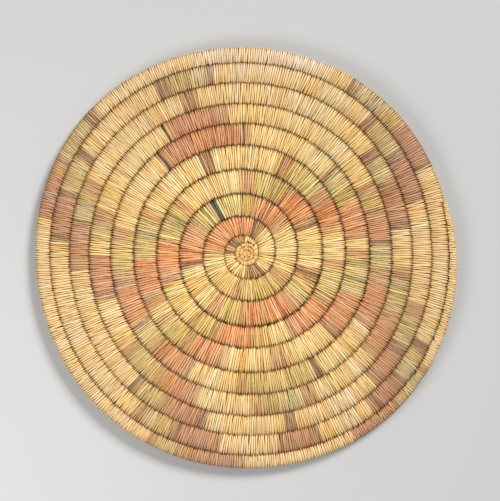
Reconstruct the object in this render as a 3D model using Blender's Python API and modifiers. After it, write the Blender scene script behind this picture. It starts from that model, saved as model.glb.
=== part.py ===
"""Coiled basketry plaque, lying on its back with its face up, in metres.

A bundle of grass, the foundation, is coiled ten times round a start ring.
Strips of dyed leaf, the wefts, are stitched over it. Each stitch wraps the
bundle and bites over the edge of the round inside it, so the rounds hold one
another. The colour changes along the coil, and each run of stitches, plain or
dyed, is a sleeve of its own round the bundle. The first run starts in a pointed
tip beside the start ring, and the last ends in a tapered tip on the rim.

Places along the coil are counted in stations, 24 to a turn, from the top of
the face and anticlockwise. Every round has its sections at the same angles, so
the facets of one round lie along those of the next.
"""
import math

import bmesh
import bpy
from mathutils import Vector
from mathutils.kdtree import KDTree

# Driving sizes
START_RING_RADIUS = 0.0094
KNOT_RADIUS = 0.0034
COIL_WIDTH = 0.0166
THICKNESS = 0.0140
START_THICKNESS = 0.0104
KNOT_THICKNESS = 0.0116

# Walls and clearances
WEFT_WALL = 0.0011
BUNDLE_CLEARANCE = 0.00035
ROUND_CLEARANCE = 0.0004
RUN_GAP = 0.0003
LEAST_WINDING_GAP = 0.0004

# Width of the coil at the top, left, bottom and right of each round, as shares of COIL_WIDTH
COIL_WIDTH_SHARES = (
    0.0,
    0.325, 0.515, 0.665, 0.835,
    0.960, 1.085, 1.110, 1.125,
    1.125, 1.190, 1.290, 1.275,
    1.225, 1.140, 1.045, 1.125,
    1.210, 1.145, 1.230, 1.225,
    1.080, 1.150, 1.075, 1.110,
    0.985, 1.080, 1.085, 1.015,
    1.040, 0.975, 0.965, 0.985,
    1.000, 0.985, 1.000, 0.865,
    0.860, 0.800, 0.735, 0.480,
    0.350,
)

# Form of the coil's section, as shares of the coil's width there
BITE_SHARE = 0.13
SHOULDER_SHARE = 0.22
# Thickness of a vanishing coil, and the width at which it is full, as shares of the full ones
THIN_SHARE = 0.35
FULL_WIDTH_SHARE = 0.80
# A weft wall is wider at the ridge and narrower at the shoulder, as shares of itself
RIDGE_WALL_SHARE = 1.3
SHOULDER_WALL_SHARE = 0.5
# Width of the rim tip's end, as a share of the coil's width there
TIP_END_SHARE = 0.5
# The hand-made outline is a little oval and a little square: by these shares of a radius it is longer
# where it bulges, at these angles in degrees anticlockwise from the right, and shorter between them
OVAL_SHARE = 0.0075
OVAL_ANGLE = 129
SQUARE_SHARE = 0.005
SQUARE_ANGLE = 51
# Profile of the knot, from its top to its bottom: radius and height as shares of the knot's
KNOT_PROFILE_SHARES = (
    (0.0, 0.93),
    (0.28, 1.0),
    (0.72, 0.94),
    (1.0, 0.62),
    (1.0, 0.38),
    (0.72, 0.06),
    (0.28, 0.0),
    (0.0, 0.07),
)

# Counts along the coil, in stations
TURN = 24
QUARTER = TURN // 4
TABLE_START = -QUARTER
COIL_START = -3
BUNDLE_START = -2
BUNDLE_END = 233
COIL_END = 235
SWELL_LENGTH = 4
STEP_ANGLE = 2 * math.pi / TURN

# Runs of stitches in each round: the weft that leads, and the angle, in degrees, where the run ends
WEFT_RUNS = (
    (("umber", 170), ("straw", 413)),
    (("red", 180), ("straw", 255), ("green", 448)),
    (("green", 155), ("red", 190), ("straw", 240), ("red", 335), ("straw", 385), ("green", 455)),
    (("straw", 145), ("green", 275), ("straw", 302), ("red", 425)),
    (("straw", 160), ("green", 255), ("straw", 318), ("red", 405), ("straw", 449)),
    (("red", 132), ("straw", 172), ("green", 301), ("straw", 330), ("red", 388)),
    (("straw", 166), ("green", 197), ("straw", 221), ("red", 250), ("straw", 275), ("green", 297),
     ("straw", 322), ("red", 398)),
    (("straw", 158), ("green", 184), ("straw", 230), ("red", 255), ("straw", 315), ("red", 341),
     ("straw", 379), ("green", 406)),
    (("straw", 149), ("green", 176), ("straw", 237), ("red", 260), ("straw", 310), ("green", 331),
     ("straw", 386), ("red", 417)),
    (("straw", 139), ("green", 170), ("straw", 243), ("red", 268), ("straw", 301), ("red", 326),
     ("straw", 375)),
)

# Finishes: colour as seen, and roughness
FINISHES = {
    "straw": ((0.91, 0.77, 0.52), 0.58),
    "green": ((0.79, 0.70, 0.42), 0.62),
    "umber": ((0.60, 0.45, 0.31), 0.64),
    "red": ((0.78, 0.49, 0.34), 0.62),
    "grass": ((0.70, 0.60, 0.38), 0.85),
}

FACET_SMOOTH_ANGLE = math.radians(35)
OBJECT_NAME = "coiled_basketry_plaque"


def clear_scene():
    """Remove every object that the scene already holds."""
    for old in list(bpy.data.objects):
        bpy.data.objects.remove(old, do_unlink=True)


def seen_to_linear(value):
    """One channel of a colour as seen, as the linear value that a shader takes."""
    if value <= 0.04045:
        return value / 12.92
    return ((value + 0.055) / 1.055) ** 2.4


def make_material(name, finish):
    """A matt leaf or grass material in one of the finishes."""
    colour, roughness = FINISHES[finish]
    material = bpy.data.materials.new(name)
    material.use_nodes = True
    shader = material.node_tree.nodes["Principled BSDF"]
    shader.inputs["Base Color"].default_value = (*map(seen_to_linear, colour), 1.0)
    shader.inputs["Roughness"].default_value = roughness
    shader.inputs["Metallic"].default_value = 0.0
    return material


# The spiral

def smooth_share(place):
    """Coil width share at a place counted in quarter turns, on a smooth curve through the table."""
    last = len(COIL_WIDTH_SHARES) - 1
    index = min(int(place), last - 1)
    part = place - index
    before, low, high, after = (COIL_WIDTH_SHARES[min(max(index + step, 0), last)] for step in (-1, 0, 1, 2))
    bend = 2 * before - 5 * low + 4 * high - after
    swing = 3 * (low - high) + after - before
    return low + part * (high - before + part * (bend + part * swing)) / 2


def tip_taper(station):
    """Share of its width that the coil keeps at a station, rounded down to its end."""
    left = (COIL_END - station) / (COIL_END - BUNDLE_END)
    if left >= 1:
        return 1.0
    return TIP_END_SHARE + (1 - TIP_END_SHARE) * math.sqrt(1 - (1 - left) ** 2)


def coil_width(station):
    """Width of the coil from seam to seam, nil where there is no coil."""
    if station < TABLE_START or station > COIL_END:
        return 0.0
    return COIL_WIDTH * smooth_share((station - TABLE_START) / QUARTER) * tip_taper(station)


def tip_swell(station):
    """How far the last full round swells just past the rim tip, where it runs on level with the tip."""
    past = station - COIL_END
    if past <= 0 or past >= SWELL_LENGTH:
        return 0.0
    return coil_width(COIL_END) * (1 - past / SWELL_LENGTH)


def seam_radius(station):
    """Radius of the seam inside the coil, round upon round from the start ring, or of the rim past its end."""
    radius = START_RING_RADIUS + tip_swell(station)
    below = station - TURN
    while below >= TABLE_START:
        radius += coil_width(below)
        below -= TURN
    return radius


def ridge_radius(station):
    """Radius of the covered ridge under the seam: the coil's stitches bite over it."""
    return seam_radius(station) + BITE_SHARE * coil_width(station)


def half_thickness(station):
    """Half of the coil's thickness, less where it is narrow."""
    fullness = min(1.0, coil_width(station) / (FULL_WIDTH_SHARE * COIL_WIDTH))
    return THICKNESS / 2 * (THIN_SHARE + (1 - THIN_SHARE) * fullness)


def ring_seam_station(station):
    """The station whose seam touches the start ring: the coil starts a little round from it."""
    return station if station >= COIL_START else station + TURN


def inner_neighbour(station):
    """Shoulder width and half thickness of what the coil lies against on its inner side."""
    below = station - TURN
    if below >= COIL_START:
        return SHOULDER_SHARE * coil_width(below), half_thickness(below)
    return SHOULDER_SHARE * (START_RING_RADIUS - KNOT_RADIUS), START_THICKNESS / 2


# Sections, as lists of radius and height

def mirrored(upper):
    """A whole section from its upper points, which run outwards and end on the middle plane."""
    return upper + [(radius, THICKNESS - height) for radius, height in reversed(upper[:-1])]


def shoulders(station):
    """The section's two upper shoulders and its outer ridge."""
    inner = seam_radius(station)
    outer = seam_radius(station + TURN)
    shoulder = SHOULDER_SHARE * coil_width(station)
    top = THICKNESS / 2 + half_thickness(station)
    ridge = ridge_radius(station + TURN) - ROUND_CLEARANCE / 2
    return [(inner + shoulder, top), (outer - shoulder, top), (ridge, THICKNESS / 2)]


def waist(station):
    """The point of the section that faces the ridge of the round inside it."""
    return ridge_radius(station) + ROUND_CLEARANCE / 2, THICKNESS / 2


def sleeve_section(station):
    """Eight points: the lips of the stitches lie along the shoulder of the round inside them."""
    shoulder, half = inner_neighbour(station)
    inner = seam_radius(station)
    covered = ridge_radius(station) - ROUND_CLEARANCE / 2 - inner
    rise = half * covered / (covered + shoulder)
    lip = inner + ROUND_CLEARANCE
    lower_lip = (lip, THICKNESS / 2 - rise)
    upper_lip = (lip, THICKNESS / 2 + rise)
    return mirrored(shoulders(station)) + [lower_lip, waist(station), upper_lip]


def inset_section(shoulder_points, inner_point, wall):
    """Six points inside a section, by a wall that follows its top, slopes and waist."""
    (left, top), (right, _), (ridge, middle) = shoulder_points
    corner = SHOULDER_WALL_SHARE * wall
    side = RIDGE_WALL_SHARE * wall
    upper = [(left + corner, top - wall), (right - corner, top - wall), (ridge - side, middle)]
    return mirrored(upper) + [(inner_point[0] + side, middle)]


def bore_section(station):
    """The room for the bundle inside a sleeve."""
    return inset_section(shoulders(station), waist(station), WEFT_WALL)


def bundle_section(station):
    """The bundle of grass inside its room."""
    return inset_section(shoulders(station), waist(station), WEFT_WALL + BUNDLE_CLEARANCE)


def ring_shoulders(station):
    """The start ring's upper shoulders and its outer ridge."""
    covering = ring_seam_station(station)
    shoulder = SHOULDER_SHARE * (START_RING_RADIUS - KNOT_RADIUS)
    top = THICKNESS / 2 + START_THICKNESS / 2
    left = KNOT_RADIUS + ROUND_CLEARANCE + shoulder
    ridge = ridge_radius(covering) - ROUND_CLEARANCE / 2
    return [(left, top), (START_RING_RADIUS - shoulder, top), (ridge, THICKNESS / 2)]


def ring_section(station):
    """Six points of the start ring, round the knot."""
    return mirrored(ring_shoulders(station)) + [(KNOT_RADIUS + ROUND_CLEARANCE, THICKNESS / 2)]


def ring_inset(station, wall):
    """Six points inside the start ring."""
    return inset_section(ring_shoulders(station), (KNOT_RADIUS + ROUND_CLEARANCE, THICKNESS / 2), wall)


def ring_bore_section(station):
    """The room for the bundle's folded end inside the start ring."""
    return ring_inset(station, WEFT_WALL)


def ring_bundle_section(station):
    """The bundle's folded end inside the start ring."""
    return ring_inset(station, WEFT_WALL + BUNDLE_CLEARANCE)


# Lofts

def out_of_round(angle):
    """The factor by which every radius is longer or shorter at an angle."""
    oval = OVAL_SHARE * math.cos(2 * (angle - math.radians(OVAL_ANGLE)))
    square = SQUARE_SHARE * math.cos(4 * (angle - math.radians(SQUARE_ANGLE)))
    return 1 + oval + square


def placed_section(section, station):
    """A section's points in space at a whole station."""
    angle = math.pi / 2 + station * STEP_ANGLE
    across = math.cos(angle) * out_of_round(angle)
    along = math.sin(angle) * out_of_round(angle)
    return [Vector((radius * across, radius * along, height)) for radius, height in section(station)]


def section_between(section, place):
    """A section's points at any place, on the straight facets from one station to the next."""
    station = math.floor(place)
    part = place - station
    start = placed_section(section, station)
    if part == 0:
        return start
    return [low.lerp(high, part) for low, high in zip(start, placed_section(section, station + 1))]


def places_between(start, end):
    """The places of a loft's sections: its two ends and the whole stations between them."""
    return [start, *range(math.floor(start) + 1, math.ceil(end)), end]


def add_rings(mesh, section, places):
    """Add a section's vertices at each place."""
    return [[mesh.verts.new(point) for point in section_between(section, place)] for place in places]


def join_rings(mesh, rings, closed=False):
    """Add the faces between neighbouring rings, and from the last to the first if closed."""
    pairs = list(zip(rings, rings[1:]))
    if closed:
        pairs.append((rings[-1], rings[0]))
    for ring, following in pairs:
        for index, corner in enumerate(ring):
            mesh.faces.new((ring[index - 1], corner, following[index], following[index - 1]))


def close_sleeve_end(mesh, outer, bore):
    """Add the faces of a sleeve's end, from its eight outer points to the six of its bore."""
    top_left, top_right, ridge, low_right, low_left, lower_lip, middle, upper_lip = outer
    in_top_left, in_top_right, in_ridge, in_low_right, in_low_left, in_middle = bore
    for face in (
        (top_left, top_right, in_top_right, in_top_left),
        (top_right, ridge, in_ridge, in_top_right),
        (ridge, low_right, in_low_right, in_ridge),
        (low_right, low_left, in_low_left, in_low_right),
        (low_left, lower_lip, in_low_left),
        (lower_lip, middle, in_middle, in_low_left),
        (middle, upper_lip, in_top_left, in_middle),
        (upper_lip, top_left, in_top_left),
    ):
        mesh.faces.new(face)


def half_gap(place):
    """Half of the gap between two pieces along the coil, in stations, where it is least."""
    return RUN_GAP / 2 / (seam_radius(math.floor(place)) * STEP_ANGLE)


def run_end(place, towards):
    """Where a run ends: half a gap short of the next run, or at the coil's own end."""
    if place in (COIL_START, COIL_END):
        return place
    return place + towards * half_gap(place)


def add_sleeve(mesh, start, end):
    """Add one run of stitches: a sleeve round the bundle, closed only at the coil's two tips."""
    outer = add_rings(mesh, sleeve_section, places_between(run_end(start, 1), run_end(end, -1)))
    bore_start = max(run_end(start, 1), BUNDLE_START)
    bore_end = min(run_end(end, -1), BUNDLE_END)
    bore = add_rings(mesh, bore_section, places_between(bore_start, bore_end))
    join_rings(mesh, outer)
    join_rings(mesh, bore)
    for place, tip, outer_ring, bore_ring in (
        (start, COIL_START, outer[0], bore[0]),
        (end, COIL_END, outer[-1], bore[-1]),
    ):
        if place == tip:
            mesh.faces.new(outer_ring)
            mesh.faces.new(bore_ring)
        else:
            close_sleeve_end(mesh, outer_ring, bore_ring)


def add_solid_loft(mesh, section, start, end):
    """Add a solid loft with a flat face at each end."""
    rings = add_rings(mesh, section, places_between(start, end))
    join_rings(mesh, rings)
    mesh.faces.new(rings[0])
    mesh.faces.new(rings[-1])


# Pieces

class Plaque:
    """The collection and the frame that the pieces belong to."""

    def __init__(self):
        self.collection = bpy.data.collections.new(OBJECT_NAME)
        bpy.context.scene.collection.children.link(self.collection)
        self.frame = bpy.data.objects.new("plaque_frame", None)
        self.frame.location = (*self.spiral_centre(), 0.0)
        self.collection.objects.link(self.frame)

    @staticmethod
    def spiral_centre():
        """Where the spiral's centre lies when the middle of the outline is the origin."""
        outline = [
            placed_section(shoulders, station)[-1] for station in range(COIL_END - TURN, COIL_END + 1)
        ]
        across = [point.x for point in outline]
        along = [point.y for point in outline]
        return -(min(across) + max(across)) / 2, -(min(along) + max(along)) / 2

    def adopt(self, piece, finish):
        """Give a piece its material and its place in the collection and under the frame."""
        piece.data.materials.append(make_material(piece.name + "_finish", finish))
        self.collection.objects.link(piece)
        piece.parent = self.frame
        return piece

    def add(self, name, mesh, finish):
        """Make a piece from a finished mesh."""
        bmesh.ops.recalc_face_normals(mesh, faces=mesh.faces)
        data = bpy.data.meshes.new(name)
        mesh.to_mesh(data)
        mesh.free()
        data.shade_smooth()
        data.set_sharp_from_angle(angle=FACET_SMOOTH_ANGLE)
        return self.adopt(bpy.data.objects.new(name, data), finish)


def make_knot(plaque):
    """The knot of leaf that closes the middle of the start ring: a turned shape."""
    mesh = bmesh.new()
    low = (THICKNESS - KNOT_THICKNESS) / 2
    profile = [
        mesh.verts.new((KNOT_RADIUS * out_share, 0, low + KNOT_THICKNESS * up_share))
        for out_share, up_share in KNOT_PROFILE_SHARES
    ]
    for upper, lower in zip(profile, profile[1:]):
        mesh.edges.new((upper, lower))
    data = bpy.data.meshes.new("start_knot")
    mesh.to_mesh(data)
    mesh.free()
    knot = plaque.adopt(bpy.data.objects.new("start_knot", data), "straw")
    turning = knot.modifiers.new("turning", "SCREW")
    turning.steps = TURN
    turning.render_steps = TURN
    turning.use_merge_vertices = True
    turning.merge_threshold = 0.00001
    turning.use_smooth_shade = True


def make_start_ring(plaque):
    """The ring of stitches round the knot, with the bundle's folded end inside it."""
    start = TABLE_START
    end = TABLE_START + TURN
    places = places_between(start + half_gap(start), end - half_gap(start))
    wefts = bmesh.new()
    outer = add_rings(wefts, ring_section, places)
    bore = add_rings(wefts, ring_bore_section, places)
    join_rings(wefts, outer)
    join_rings(wefts, bore)
    for last in (0, -1):
        join_rings(wefts, [outer[last], bore[last]])
    plaque.add("start_ring_wefts", wefts, "straw")
    bundle = bmesh.new()
    join_rings(bundle, add_rings(bundle, ring_bundle_section, range(start, end)), closed=True)
    plaque.add("start_ring_bundle", bundle, "grass")


def make_foundation(plaque):
    """The bundle of grass: one unbroken winding from the first stitches to the rim tip."""
    start = BUNDLE_START + half_gap(BUNDLE_START)
    end = BUNDLE_END - half_gap(BUNDLE_END)
    bundle = bmesh.new()
    add_solid_loft(bundle, bundle_section, start, end)
    plaque.add("foundation_coil", bundle, "grass")
    print_least_gap(places_between(start, end))


def print_least_gap(places):
    """Measure the winding's least gap to itself on its section points, and print it."""
    marked = [(place, point) for place in places for point in section_between(bundle_section, place)]
    tree = KDTree(len(marked))
    for index, (place, point) in enumerate(marked):
        tree.insert(point, index)
    tree.balance()
    least = min(
        distance
        for place, point in marked
        for _, index, distance in tree.find_range(point, COIL_WIDTH / 2)
        if abs(marked[index][0] - place) > TURN / 2
    )
    print(f"foundation_coil: least gap to itself {least * 1000:.2f} mm")
    assert least > LEAST_WINDING_GAP, "the winding touches itself"


def run_place(round_index, angle):
    """The place on the coil, in stations, of an angle in one of its rounds."""
    return round_index * TURN + (angle - 90) / 360 * TURN


def make_wefts(plaque):
    """The runs of stitches, each a sleeve that starts where the one before it ends."""
    start = COIL_START
    for round_index, runs in enumerate(WEFT_RUNS):
        for run_index, (weft, end_angle) in enumerate(runs):
            end = run_place(round_index, end_angle)
            mesh = bmesh.new()
            add_sleeve(mesh, start, end)
            plaque.add(f"round_{round_index + 1:02d}_run_{run_index + 1}_{weft}", mesh, weft)
            start = end


def main():
    """Build the plaque."""
    clear_scene()
    plaque = Plaque()
    make_knot(plaque)
    make_start_ring(plaque)
    make_foundation(plaque)
    make_wefts(plaque)


main()
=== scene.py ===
"""Finished look of a coiled basketry plaque that lies on its back with its face up.

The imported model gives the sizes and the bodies. Every stitch of split leaf is
laid here as a strip of its own round the grass bundle, in runs of natural
straw, green, umber, red and black, and each strip bites under the edge of the
round inside it.

Places along the coil are counted in turns, from the top of the face and
anticlockwise. Lengths are in metres.
"""
import logging
import math
from dataclasses import dataclass, field
from enum import Enum
from typing import Callable, Sequence

import bpy
import numpy as np
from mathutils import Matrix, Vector


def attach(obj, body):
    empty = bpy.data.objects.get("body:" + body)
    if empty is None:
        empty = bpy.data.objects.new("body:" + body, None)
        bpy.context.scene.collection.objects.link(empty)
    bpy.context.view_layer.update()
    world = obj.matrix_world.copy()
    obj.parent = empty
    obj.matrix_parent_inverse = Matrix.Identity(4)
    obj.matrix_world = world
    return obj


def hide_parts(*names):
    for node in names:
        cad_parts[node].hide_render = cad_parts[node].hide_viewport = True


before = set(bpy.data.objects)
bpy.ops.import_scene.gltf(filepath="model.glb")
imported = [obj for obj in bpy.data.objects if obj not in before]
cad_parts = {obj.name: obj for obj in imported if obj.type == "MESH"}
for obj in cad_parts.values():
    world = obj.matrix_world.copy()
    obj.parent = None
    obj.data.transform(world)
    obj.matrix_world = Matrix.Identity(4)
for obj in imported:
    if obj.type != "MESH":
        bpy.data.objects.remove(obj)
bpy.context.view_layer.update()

MILLIMETRE = 0.001
BODY = "root"
LEAST_LENGTH = 1e-9
LOG = logging.getLogger("plaque")


class Dye(Enum):
    """The colours of leaf strip, by the letter that stands for each in the pattern."""

    STRAW = "s"
    GREEN = "g"
    UMBER = "u"
    RED = "r"
    BLACK = "k"


# Angle of the top, where each round starts, in degrees anticlockwise from the right
TOP = 90
# Each round's runs of stitches: the dye's letter and the angle where its run ends. A run goes on
# from where the one before it ended. A capital stands for leaf that took the dye deeply.
PATTERN = (
    "s101 U172 s267 U315 s416 U437 r450",
    "r170 u184 s248 u262 g318.5 u335.5 s396 u411.5 R436 u447.5",
    "g117 u121.6 k126 G150 u160 r186 U192.5 s234.5 u246 g261.5 u270 r283 u290 r309 u317 g335 U345.5 s382 "
    "U390.5 R412 u421 G446 u455",
    "s141 u146 G169 u173.5 r194 u202 s228 u232 g247 u253.5 r272.5 u277.5 s299.5 u304.5 r327 u332 g350 "
    "u356 s373 u380 R393 u402 g422 U429.5 s450",
    "s109.5 U116.5 s155.5 u161 G182.5 r203 u209.5 s217 u221.5 g233.5 u238 r254 u258.5 s284 u289.5 s316.5 "
    "U320.5 r337 u340 G358 u362.5 s367.5 u371.5 r385.5 G402 U406 s449",
    "u94.5 R128.5 U130.6 k131.7 U134 s169 u174 g187.5 u195 r210.5 u214 g223.5 u228.5 r240 u244.5 s265.5 "
    "u270 G275 g300 U304.5 s329 u332.5 r346 u353 G362.5 U366.5 r375 u380 G387 u391 s450",
    "s97.5 u102 R120 u123.2 k124 s163 u168.5 g175 s180 r195 u199.5 s218 u222.5 g233 u236.5 r247 u251.5 "
    "s273.5 u278.5 G291.5 u297 s321 u324.5 r333.5 u338 G350 u355 s369 U373 R384 U387 G396.5 U400.5 s450",
    "s107.5 U113 s154 u159.5 G168 U171 r180.5 u186 s228 U231 g239 u242.5 r252.5 U256.5 s282.5 U286.5 "
    "s314.5 U318 r326 U330 G339.5 u343.5 s377.5 U381.5 R391 U394.5 G404.5 U408.5 s450",
    "s100 U103 G115 U118.5 s146.5 U150.5 g160.5 U163 R173 U177 s234.5 u239 g246 U249.5 r259.5 u262 s279 "
    "U281.5 r290 U292.5 s309 U311.5 R319 U322 G330.5 U333.5 s385.5 U388 r398.5 u401 G415 U419 s450",
    "s136.5 U140.5 G152 u157 r169.5 s241 u244.5 g249.5 u254 r266 u269 s300.5 r313 u316.5 G325 u328.5 s375",
)


@dataclass(frozen=True)
class Coil:
    """The spiral that the bundle follows, and the outline of its section at any place."""

    centre: tuple[float, float] = (0.471 * MILLIMETRE, 3.227 * MILLIMETRE)
    start_radius: float = 9.4 * MILLIMETRE
    knot_radius: float = 3.4 * MILLIMETRE
    full_width: float = 16.6 * MILLIMETRE
    thickness: float = 14.0 * MILLIMETRE
    start_thickness: float = 10.4 * MILLIMETRE
    clearance: float = 0.4 * MILLIMETRE
    # How far a round lies under the next one, as a share of the next one's width
    bite_share: float = 0.13
    # Height of a start row's lip, as a share of the row's
    row_lip_share: float = 0.8
    # Thickness of the narrowest coil, and the width at which the coil is thickest
    thin_share: float = 0.35
    full_width_share: float = 0.80
    # Width at the very tip, as a share of the width that the table gives there
    tip_end_share: float = 0.5
    # Power of the section's arcs: 2 is an ellipse, and more is fuller
    roundness: float = 2.25
    # Places in turns
    start: float = -3 / 24
    taper_start: float = 233 / 24
    end: float = 235 / 24
    swell_length: float = 4 / 24
    table_start: float = -0.25
    # How far the plaque is out of round
    oval_share: float = 0.0075
    oval_angle: float = math.radians(129)
    square_share: float = 0.005
    square_angle: float = math.radians(51)
    # Width at each quarter turn from the table's start, as shares of the full width
    width_shares: tuple[float, ...] = (
        0.0,
        0.325, 0.515, 0.665, 0.835,
        0.960, 1.085, 1.110, 1.125,
        1.125, 1.190, 1.290, 1.275,
        1.225, 1.140, 1.045, 1.125,
        1.210, 1.145, 1.230, 1.225,
        1.080, 1.150, 1.075, 1.110,
        0.985, 1.080, 1.085, 1.015,
        1.040, 0.975, 0.965, 0.985,
        1.000, 0.985, 1.000, 0.865,
        0.860, 0.800, 0.735, 0.480,
        0.350,
    )

    def width(self, place: np.ndarray) -> np.ndarray:
        """Visible width of the coil, on a smooth curve through its shares at each quarter turn.

        Args:
            place: Places in turns.

        Returns:
            The widths, nil where there is no coil.
        """
        shares = np.array(self.width_shares)
        last = len(shares) - 1
        quarter = (place - self.table_start) * 4
        index = np.clip(np.floor(quarter).astype(int), 0, last - 1)
        part = quarter - index
        before = shares[np.clip(index - 1, 0, last)]
        low = shares[index]
        high = shares[index + 1]
        after = shares[np.clip(index + 2, 0, last)]
        # Factors of the curve that passes through every share
        bend = 2 * before - 5 * low + 4 * high - after
        swing = 3 * (low - high) + after - before
        share = low + part * (high - before + part * (bend + part * swing)) / 2
        left = np.clip((self.end - place) / (self.end - self.taper_start), 0, 1)
        taper = self.tip_end_share + (1 - self.tip_end_share) * np.sqrt(1 - (1 - left) ** 2)
        inside = (place >= self.table_start) & (place <= self.end)
        return np.where(inside, self.full_width * share * taper, 0.0)

    def swell(self, place: np.ndarray) -> np.ndarray:
        """How far the last full round swells just past the rim tip, where it runs on level with the tip.

        Args:
            place: Places in turns.

        Returns:
            The swells, nil up to the tip.
        """
        past = place - self.end
        tip = self.width(np.array([self.end]))[0]
        return np.where(past > 0, tip * np.clip(1 - past / self.swell_length, 0, 1), 0.0)

    def seam(self, place: np.ndarray) -> np.ndarray:
        """Radius of the seam inside the coil at each place, or of the rim past the coil's end.

        Args:
            place: Places in turns.

        Returns:
            The radii.
        """
        radius = self.start_radius + self.swell(np.asarray(place, dtype=float))
        for lap in range(1, math.ceil(self.end) + 2):
            radius = radius + self.width(place - lap)
        return radius

    def ridge(self, place: np.ndarray) -> np.ndarray:
        """Radius of the ridge under the seam, over which the coil's stitches bite."""
        return self.seam(place) + self.bite_share * self.width(place)

    def half_thickness(self, place: np.ndarray) -> np.ndarray:
        """Half of the coil's thickness at each place."""
        fullness = np.minimum(1, self.width(place) / (self.full_width_share * self.full_width))
        return self.thickness / 2 * (self.thin_share + (1 - self.thin_share) * fullness)

    def point(self, radius: np.ndarray, height: np.ndarray, place: np.ndarray) -> np.ndarray:
        """Points in space from their radius, height and place along the coil.

        Args:
            radius: Distances from the spiral's centre.
            height: Heights over the surface that the plaque lies on.
            place: Places in turns.

        Returns:
            An array with one more axis than the arguments, for x, y and z.
        """
        angle = np.pi / 2 + 2 * np.pi * place
        oval = self.oval_share * np.cos(2 * (angle - self.oval_angle))
        square = self.square_share * np.cos(4 * (angle - self.square_angle))
        radius = radius * (1 + oval + square)
        across = self.centre[0] + radius * np.cos(angle)
        along = self.centre[1] + radius * np.sin(angle)
        return np.stack([across, along, height + np.zeros_like(across)], axis=-1)


@dataclass(frozen=True)
class Arch:
    """Upper outline of a coil's section at many places: two arcs that meet on its crown."""

    inner: np.ndarray
    outer: np.ndarray
    ridge: np.ndarray
    rise: np.ndarray
    lip_rise: np.ndarray
    waist: np.ndarray
    middle: float
    roundness: float

    # Where points stand on the outer arc, from ridge to crown, and on the inner, from crown to lip
    OUTER_SHARES = (0.0, 0.20, 0.43, 0.70, 1.0)
    INNER_SHARES = (0.36, 0.72, 1.0)
    MOST_LIP_SHARE = 0.95

    def loop(self) -> tuple[np.ndarray, np.ndarray]:
        """Radii and heights of the section's closed outline, from the ridge over the crown.

        Returns:
            Two arrays with a row for each place and a column for each point of the loop.
        """
        power = 2 / self.roundness
        crown = (self.inner + self.outer) / 2
        radii = []
        rises = []
        for share in self.OUTER_SHARES:
            angle = share * math.pi / 2
            radii.append(crown + (self.ridge - crown) * math.cos(angle) ** power * (share < 1))
            rises.append(self.rise * math.sin(angle) ** power)
        lip_share = np.minimum(self.lip_rise / self.rise, self.MOST_LIP_SHARE)
        lip_angle = np.arcsin(lip_share ** (self.roundness / 2))
        reach = (crown - self.inner) / np.cos(lip_angle) ** power
        for share in self.INNER_SHARES:
            angle = np.pi / 2 - share * (np.pi / 2 - lip_angle)
            radii.append(crown - reach * np.cos(angle) ** power)
            rises.append(self.rise * np.sin(angle) ** power)
        upper = list(zip(radii, rises))
        lower = [(radius, -rise) for radius, rise in reversed(upper[1:])]
        outline = upper + [(self.waist, np.zeros_like(self.waist))] + lower
        radius = np.stack([point[0] for point in outline], axis=1)
        height = self.middle + np.stack([point[1] for point in outline], axis=1)
        return radius, height


def arc_rise(inner: np.ndarray, seam: np.ndarray, ridge: np.ndarray, rise: np.ndarray,
             roundness: float) -> np.ndarray:
    """Height, over the middle plane, at which a coil's outer arc passes the seam on it.

    Args:
        inner: Radii of the coil's own inner seam.
        seam: Radii of the seam that lies on its outer arc.
        ridge: Radii of the foot of that arc.
        rise: Heights of its crown.
        roundness: Power of the arc.

    Returns:
        The heights.
    """
    crown = (inner + seam) / 2
    share = np.clip((seam - crown) / (ridge - crown), 0, 1)
    return rise * (1 - share ** roundness) ** (1 / roundness)


def coil_arch(coil: Coil, place: np.ndarray, bite: np.ndarray | float = 0.0) -> Arch:
    """The section of the stitched coil at each place, laid against the round inside it.

    Args:
        coil: The spiral.
        place: Places along the coil, in turns.
        bite: How much further than the seam the stitches reach over the round inside.

    Returns:
        The sections.
    """
    inner = coil.seam(place) - bite
    below = place - 1
    on_ring = below < coil.start
    below_inner = np.where(on_ring, coil.knot_radius, coil.seam(below))
    below_rise = np.where(on_ring, coil.start_thickness / 2, coil.half_thickness(below))
    ridge_below = coil.ridge(place)
    lip_rise = arc_rise(below_inner, inner, ridge_below, below_rise, coil.roundness)
    return Arch(
        inner=inner + coil.clearance / 2,
        outer=coil.seam(place + 1),
        ridge=coil.ridge(place + 1) - coil.clearance / 2,
        rise=coil.half_thickness(place),
        lip_rise=lip_rise,
        waist=ridge_below + coil.clearance / 2,
        middle=coil.thickness / 2,
        roundness=coil.roundness,
    )


@dataclass(frozen=True)
class StartRow:
    """One of the small rounds of the start, a ring of short stitches."""

    inner: float
    outer: float
    rise: float

    def arch(self, coil: Coil, place: np.ndarray, bite: np.ndarray | float = 0.0) -> Arch:
        """The row's section at each place. The coil's first round covers the edge of the last row.

        Args:
            coil: The spiral.
            place: Places round the row, in turns.
            bite: How much further in than its seam each stitch reaches.

        Returns:
            The sections.
        """
        covering = np.where(place % 1 >= coil.start % 1, place % 1 - 1, place % 1)
        under_coil = self.outer >= coil.start_radius
        tucked = np.full_like(place, self.outer + coil.bite_share * (self.outer - self.inner))
        rise = np.full_like(place, self.rise)
        inner = np.full_like(place, self.inner) - bite
        return Arch(
            inner=inner,
            outer=np.full_like(place, self.outer),
            ridge=coil.ridge(covering) - coil.clearance / 2 if under_coil else tucked,
            rise=rise,
            lip_rise=rise * coil.row_lip_share,
            waist=inner,
            middle=coil.thickness / 2,
            roundness=coil.roundness,
        )


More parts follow.
